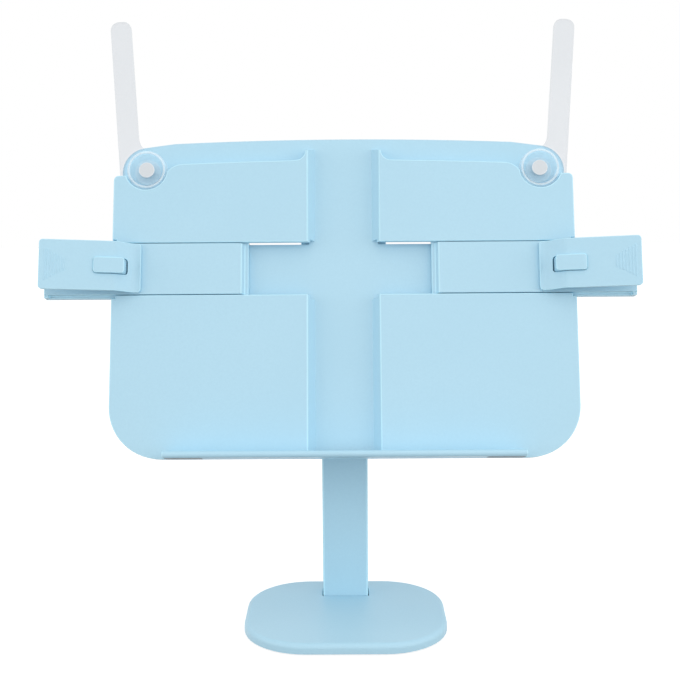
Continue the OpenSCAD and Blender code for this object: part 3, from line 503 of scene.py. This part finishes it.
seat_points = node("GeometryNodeMeshToPoints", {"Mesh": given["Geometry"]})
placed = node("GeometryNodeInstanceOnPoints", {
    "Points": seat_points.outputs[0], "Instance": screw.outputs["Mesh"], "Rotation": turned.outputs[0]})
finish_group(node, placed.outputs[0], given["Material"])

base_floor, cover_back, bracket_back = 1.2, 36.0, -13.4
post_middle, cover_foot, cover_height = 30.4, 23, 155.9
# Each set's node and body, then its head's radius and height, its shaft's radius and length, all in mm,
# how far the screws lean back from upright, and where their heads sit.
screw_sets = (
    ("plate_screws", "stand", (2.8, 0.9, 1.45, 4.0), 0.0,
     [mm * Vector((x, y, base_floor)) for x in (-48, 48) for y in (-21.1, 21.1)]),
    ("column_screws", "stand", (3.6, 0.9, 1.9, 14.0), 0.0,
     [mm * Vector((x, post_middle, base_floor)) for x in (-7.15, 7.15)]),
    ("column_cover_screws", "stand", (2.8, 0.9, 1.45, 5.0), 0.5 * math.pi,
     [mm * Vector((0, cover_back, cover_foot + cover_height * (step + 0.5) / 3)) for step in range(3)]),
    ("bracket_screws", "panel", (2.8, 1.8, 1.45, 6.9), 0.5 * math.pi - tilt,
     [on_panel(x, up, bracket_back) for x in (-22.65, 22.65) for up in (72, 138)]))
for seed, (name, body, sizes, lean, seats) in enumerate(screw_sets):
    head_radius, head_height, shaft_radius, shaft_length = (mm * size for size in sizes)
    screws = repeated(name + "_zinc", screw_group, seats, {
        "Head Radius": head_radius, "Head Height": head_height, "Shaft Radius": shaft_radius,
        "Shaft Length": shaft_length, "Turn": (lean, 0.0, 0.0), "Seed": seed, "Material": drawn_steel})
    stands_for(screws, drawn_steel, body, "screw_steel", name)


# The grip ribs: low round ribs across the outer end of each clip lever, shorter towards the panel.
# They are part of the lever's moulding.
rib_group, node, given = node_group(
    "grip_ribs", ("Length", "Float"), ("Shorter", "Float"), ("Radius", "Float"), ("Turn", "Vector"),
    ("Material", "Material"))
bar = node("GeometryNodeMeshCylinder", {"Vertices": 20, "Side Segments": 1, "Radius": given["Radius"],
                                        "Depth": 1.0})
shrink = times(node, given["Shorter"], node("GeometryNodeInputIndex").outputs[0])
length = node("ShaderNodeMath", {0: given["Length"], 1: shrink}, operation="SUBTRACT")
rib_size = node("ShaderNodeCombineXYZ", {0: 1.0, 1: 1.0, 2: length.outputs[0]})
rib_turn = node("FunctionNodeEulerToRotation", {"Euler": given["Turn"]})
rib_points = node("GeometryNodeMeshToPoints", {"Mesh": given["Geometry"]})
placed = node("GeometryNodeInstanceOnPoints", {
    "Points": rib_points.outputs[0], "Instance": bar.outputs["Mesh"], "Scale": rib_size.outputs[0],
    "Rotation": rib_turn.outputs[0]})
finish_group(node, placed.outputs[0], given["Material"])

clip_up, pushed_in = 114.4, {"left": 0.0, "right": 4.3}
first_rib, rib_pitch, rib_count, rib_sunk = 176.4, 1.85, 7, 0.3
lever_bend, lever_bend_out, lever_slope = 137.9, 10.8, 0.17
for hand, way in hands.items():
    rows = [first_rib - rib_pitch * step for step in range(rib_count)]
    heights = [lever_bend_out + lever_slope * (x - lever_bend) - rib_sunk for x in rows]
    ribs = repeated(hand + "_grip_ribs", rib_group,
                    [on_panel(way * (x - pushed_in[hand]), clip_up, out) for x, out in zip(rows, heights)],
                    {"Length": 0.019, "Shorter": 0.002, "Radius": 0.0006, "Turn": (-tilt, 0.0, 0.0),
                     "Material": blue_shell})
    stands_for(ribs, blue_shell, hand + "_clip", "blue_shell")


# The clip springs: torsion springs of music wire round the pins inside the posts.
# One leg lies on the arm and the other pushes up under the lever, so a spring twists as its clip opens.
wire_group, node, given = node_group("round_wire", ("Wire Radius", "Float"), ("Material", "Material"))
run = node("GeometryNodeMeshToCurve", {"Mesh": given["Geometry"]})
section = node("GeometryNodeCurvePrimitiveCircle", {"Resolution": 12, "Radius": given["Wire Radius"]})
wire = node("GeometryNodeCurveToMesh", {"Curve": run.outputs[0], "Profile Curve": section.outputs[0],
                                        "Fill Caps": True})
finish_group(node, wire.outputs[0], given["Material"])

spring_steel = worked_steel("music_wire", colour=(0.66, 0.67, 0.68, 1), shade=(0.5, 0.51, 0.53, 1),
                            rough=0.28, stretch=(1, 1, 0.2))
pin_x, pin_out = 138, 4.2
coil_radius, coil_length, coil_steps = 2.1, 5.2, 135
lower_leg, lower_steps = 8, 8
upper_leg, upper_steps, leg_lift = 13.7, 12, math.radians(17.0)
start_turn = math.radians(-90.0)
all_turns = math.radians(180.0) + leg_lift - math.radians(4 * 360.0)
coil = []
for step in range(coil_steps + 1):
    part = step / coil_steps
    angle = start_turn + all_turns * part
    coil.append((pin_x + coil_radius * math.cos(angle), coil_length * (part - 0.5),
                 pin_out + coil_radius * math.sin(angle)))
leg_below = [(pin_x + lower_leg * (1 - step / lower_steps), -0.5 * coil_length, pin_out - coil_radius)
             for step in range(lower_steps)]
coil_x, coil_along, coil_out = coil[-1]
reach, rise = upper_leg * math.cos(leg_lift), upper_leg * math.sin(leg_lift)
leg_above = [(coil_x + reach * step / upper_steps, coil_along, coil_out + rise * step / upper_steps)
             for step in range(1, upper_steps + 1)]
for hand, way in hands.items():
    spring = repeated(hand + "_clip_spring_wire", wire_group,
                      [on_panel(way * (x - pushed_in[hand]), clip_up + along, out)
                       for x, along, out in leg_below + coil + leg_above],
                      {"Wire Radius": 0.0004, "Material": spring_steel}, joined=True)
    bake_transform(spring)
    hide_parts(hand + "_clip_spring")


# The swing arms: clear plastic, each a flat finger on a stepped disc, polished and slightly grey.
# The round rims of the discs carry a painted white highlight, and a painted glow round the pivots stands for
# the light that the clear discs gather. The arms turn on pale pins in the panel's top corners.
pivot_x, pivot_up = 120.4, 176.6
disc_end, finger_start = 0.0140, 0.0156
disc_cover, rim_highlight_cover, painted_pivot_glow = 0.025, 0.45, 0.044
clear_plastic, tree, shader, node = new_material("clear_plastic")
place = node("ShaderNodeTexCoord").outputs["Object"]
haze = node("ShaderNodeTexNoise", {"Vector": place, "Scale": 40.0, "Detail": 4.0}).outputs["Fac"]
tint = node("ShaderNodeMix", {0: haze, 6: (0.49, 0.555, 0.625, 1), 7: (0.53, 0.59, 0.66, 1)},
            data_type="RGBA")
place_x, place_y, place_z = node("ShaderNodeSeparateXYZ", {0: place}).outputs
either_side = node("ShaderNodeMath", {0: place_x}, operation="ABSOLUTE")
one_side = node("ShaderNodeCombineXYZ", {0: either_side.outputs[0], 1: place_y, 2: place_z})
from_pivot = node("ShaderNodeVectorMath", {0: one_side.outputs[0], 1: on_panel(pivot_x, pivot_up, 0)},
                  operation="SUBTRACT")
depth = node("ShaderNodeVectorMath", {0: from_pivot.outputs[0], 1: panel_out}, operation="PROJECT")
across = node("ShaderNodeVectorMath", {0: from_pivot.outputs[0], 1: depth.outputs[0]},
              operation="SUBTRACT")
distance = node("ShaderNodeVectorMath", {0: across.outputs[0]}, operation="LENGTH")
on_finger = node("ShaderNodeMapRange", {"Value": distance.outputs["Value"], "From Min": disc_end,
                                        "From Max": finger_start}).outputs[0]
on_disc = node("ShaderNodeMapRange", {"Value": on_finger, "To Min": 1.0, "To Max": 0.0})
rim = node("ShaderNodeAttribute", attribute_name="rim").outputs["Fac"]
disc_rim_highlight = node("ShaderNodeMath", {0: rim, 1: on_disc.outputs[0]}, operation="MULTIPLY").outputs[0]
# On the discs' rims the colour turns to a near-white painted highlight, and the cover rises.
colours = node("ShaderNodeMix", {0: disc_rim_highlight, 6: tint.outputs[2], 7: (0.90, 0.97, 1.0, 1)},
               data_type="RGBA")
tree.links.new(colours.outputs[2], shader.inputs["Base Color"])
polish = node("ShaderNodeMapRange", {"Value": haze, "To Min": 0.06, "To Max": 0.14})
tree.links.new(polish.outputs[0], shader.inputs["Roughness"])
cloud = node("ShaderNodeMapRange", {"Value": haze, "To Min": 0.21, "To Max": 0.25})
clarity = node("ShaderNodeMix", {0: on_finger, 2: disc_cover, 3: cloud.outputs[0]})
cover = node("ShaderNodeMix", {0: disc_rim_highlight, 2: clarity.outputs[0], 3: rim_highlight_cover})
tree.links.new(cover.outputs[0], shader.inputs["Alpha"])
# A painted glow, strongest round the pivot and none on the finger, lights each disc from inside.
painted_glow_fade = node("ShaderNodeMapRange", {"Value": on_finger, "To Min": painted_pivot_glow, "To Max": 0.0})
painted_glow = node("ShaderNodeMath", {0: painted_glow_fade.outputs[0], 1: cover.outputs[0]}, operation="DIVIDE")
shader.inputs["Emission Color"].default_value = (0.52, 0.75, 0.92, 1)
tree.links.new(painted_glow.outputs[0], shader.inputs["Emission Strength"])
shader.inputs["IOR"].default_value = 1.49


def mark_rim_highlights(piece, way):
    """Marks where a clear arm gets its painted white highlight: fully on the top of its boss, and more
    weakly on the rounded edge of its disc.
    """
    boss_foot, boss_radius, boss_highlight = -0.0011, 0.0120, 1.0
    disc_top, edge_inside, edge_outside, disc_edge_highlight = -0.0035, 0.0118, 0.0126, 0.4
    upright, level = 0.1, 0.98
    rim_highlights = piece.data.attributes.new("rim", "FLOAT", "FACE")
    for face in piece.data.polygons:
        place = face.center - on_panel(pivot_x * way, pivot_up, 0)
        out = place.dot(panel_out)
        reach = (place - out * panel_out).length
        on_boss = out > boss_foot and reach < boss_radius
        slanted = upright < abs(face.normal.dot(panel_out)) < level
        on_edge = slanted and out < disc_top and edge_inside < reach < edge_outside
        rim_highlights.data[face.index].value = boss_highlight if on_boss else disc_edge_highlight if on_edge else 0.0


pale_plastic = satin_plastic("pale_pin_plastic", colour=(0.72, 0.75, 0.772, 1),
                             shade=(0.69, 0.72, 0.742, 1), rough=0.32, grain=0.02)
# The pivot washers are painted lighter than the panel's blue: painted light that makes up for the shade in
# the sockets behind the clear discs.
lightened_washer_blue = satin_plastic("slip_blue_painted_lighter", colour=(0.60, 0.81, 0.93, 1), shade=(0.58, 0.79, 0.91, 1),
                          rough=0.5, grain=0.03)
for hand, way in hands.items():
    finger = moulded_copy(hand + "_swing_moulding", hand + "_swing_arm", edge=0.0005)
    mark_rim_highlights(finger, way)
    stands_for(finger, clear_plastic, hand + "_swing_arm", "clear_arm", hand + "_swing_arm")
    pivot = moulded_copy(hand + "_pivot_moulding", hand + "_pivot_pin", edge=0.0004)
    stands_for(pivot, pale_plastic, "panel", "pale_pin", hand + "_pivot_pin")
    retainer = moulded_copy(hand + "_pivot_push_cap", hand + "_pivot_retainer", edge=0.0006)
    stands_for(retainer, pale_plastic, "panel", "pale_pin", hand + "_pivot_retainer")
    disc = moulded_copy(hand + "_pivot_friction_washer", hand + "_pivot_washer", edge=0.0001, segments=1)
    stands_for(disc, lightened_washer_blue, "panel", "blue_cover", hand + "_pivot_washer")
